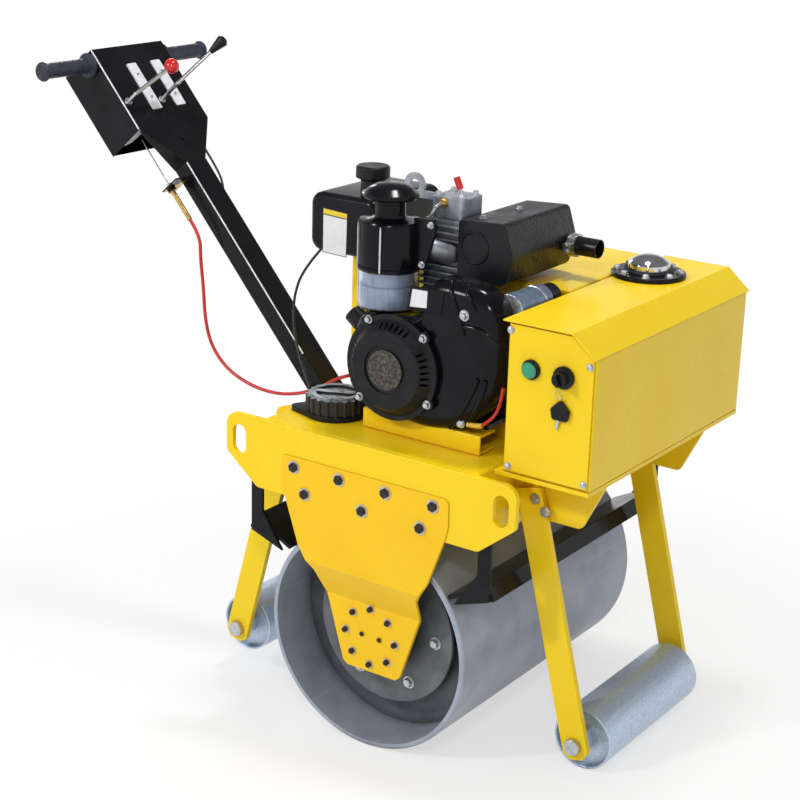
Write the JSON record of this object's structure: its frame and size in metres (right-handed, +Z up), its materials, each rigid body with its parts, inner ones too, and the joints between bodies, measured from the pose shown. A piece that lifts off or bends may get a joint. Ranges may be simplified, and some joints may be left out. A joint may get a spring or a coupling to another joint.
{
  "type": "walk-behind single-drum vibratory road roller",
  "caption": "Walk-behind single-drum vibratory roller with an open diesel engine, front tank, small park rollers on legs and a tilting tiller handle.",
  "frame": {"origin": "centre of the bounding box on the ground the parked machine stands on", "axes": "+X away from the operator, along the machine; +Y across it; +Z up"},
  "size_m": [1.3184, 0.652, 1.2395],
  "materials": {
    "yellow_paint": "gloss",
    "black_paint": "satin",
    "handle_black": "satin",
    "drum_grey": "satin",
    "zinc": "satin",
    "bare_steel": "satin",
    "cast_aluminium": "satin",
    "black_aluminium": "satin",
    "black_plastic": "satin",
    "clear_plastic": "gloss",
    "green_plastic": "gloss",
    "red_plastic": "gloss",
    "rubber": "matte",
    "chrome": "polished",
    "cable_red": "satin",
    "cable_black": "satin"
  },
  "bodies": {
    "chassis": {"deck": "yellow_paint", "side_plate_near": "yellow_paint", "side_plate_far": "yellow_paint", "drum_bracket_near": "yellow_paint", "drum_bracket_far": "yellow_paint", "bearing_housings": "drum_grey", "leg_front_near": "yellow_paint", "leg_front_far": "yellow_paint", "leg_rear_near": "yellow_paint", "leg_rear_far": "yellow_paint", "leg_gussets": "yellow_paint", "roller_axles": "zinc", "scraper_front": "black_paint", "scraper_rear": "black_paint", "engine_rails": "yellow_paint", "belt_guard": "yellow_paint", "tank_base": "yellow_paint", "front_tank": "yellow_paint", "tank_cover": "yellow_paint", "control_panel": "yellow_paint", "start_button": "green_plastic", "key_switch": "black_plastic", "key_fob": "black_plastic", "filler_flange": "black_paint", "filler_cap": "chrome", "water_cap": "black_plastic", "cap_tether": "black_plastic", "crankcase": "black_aluminium", "cooling_shroud": "black_aluminium", "recoil_starter": "black_plastic", "cylinder_head": "cast_aluminium", "fuel_tank": "black_paint", "fuel_cap": "black_plastic", "air_cleaner": "black_plastic", "air_cleaner_bowl": "clear_plastic", "muffler": "black_paint", "exhaust_tip": "black_paint", "starter_motor": "zinc", "oil_filler": "black_plastic", "decompression_lever": "red_plastic", "handle_bracket": "black_paint", "throttle_cable": "cable_black", "throttle_gland": "zinc"},
    "handle": {"handle_arm": "handle_black", "control_head": "handle_black", "handle_grips": "rubber", "slot_plates": "bare_steel", "ball_lever": "bare_steel", "cone_lever": "bare_steel", "cable_adjuster": "bare_steel", "pull_wire": "bare_steel", "red_cable": "cable_red", "side_cable": "cable_black"},
    "drum": {"drum_shell": "drum_grey", "drum_bulkheads": "drum_grey", "damper_disc_near": "drum_grey", "damper_disc_far": "drum_grey", "drum_buffers": "rubber"},
    "roller_front": {"roller_front": "zinc"},
    "roller_rear": {"roller_rear": "zinc"}
  },
  "joints": [
    {"name": "drum_spin", "type": "hinge", "parent": "chassis", "child": "drum", "pos_m": [0.19263, 0, 0.213], "axis": [0, 1, 0], "continuous": true},
    {"name": "front_roller_spin", "type": "hinge", "parent": "chassis", "child": "roller_front", "pos_m": [0.56683, 0, 0.057], "axis": [0, 1, 0], "continuous": true},
    {"name": "rear_roller_spin", "type": "hinge", "parent": "chassis", "child": "roller_rear", "pos_m": [-0.19937, 0, 0.10961], "axis": [0, 1, 0], "continuous": true},
    {"name": "handle_tilt", "type": "hinge", "parent": "chassis", "child": "handle", "pos_m": [-0.06261, 0, 0.51018], "axis": [0, 1, 0], "range_deg": [-20, 30], "deforming": ["red_cable"]}
  ]
}
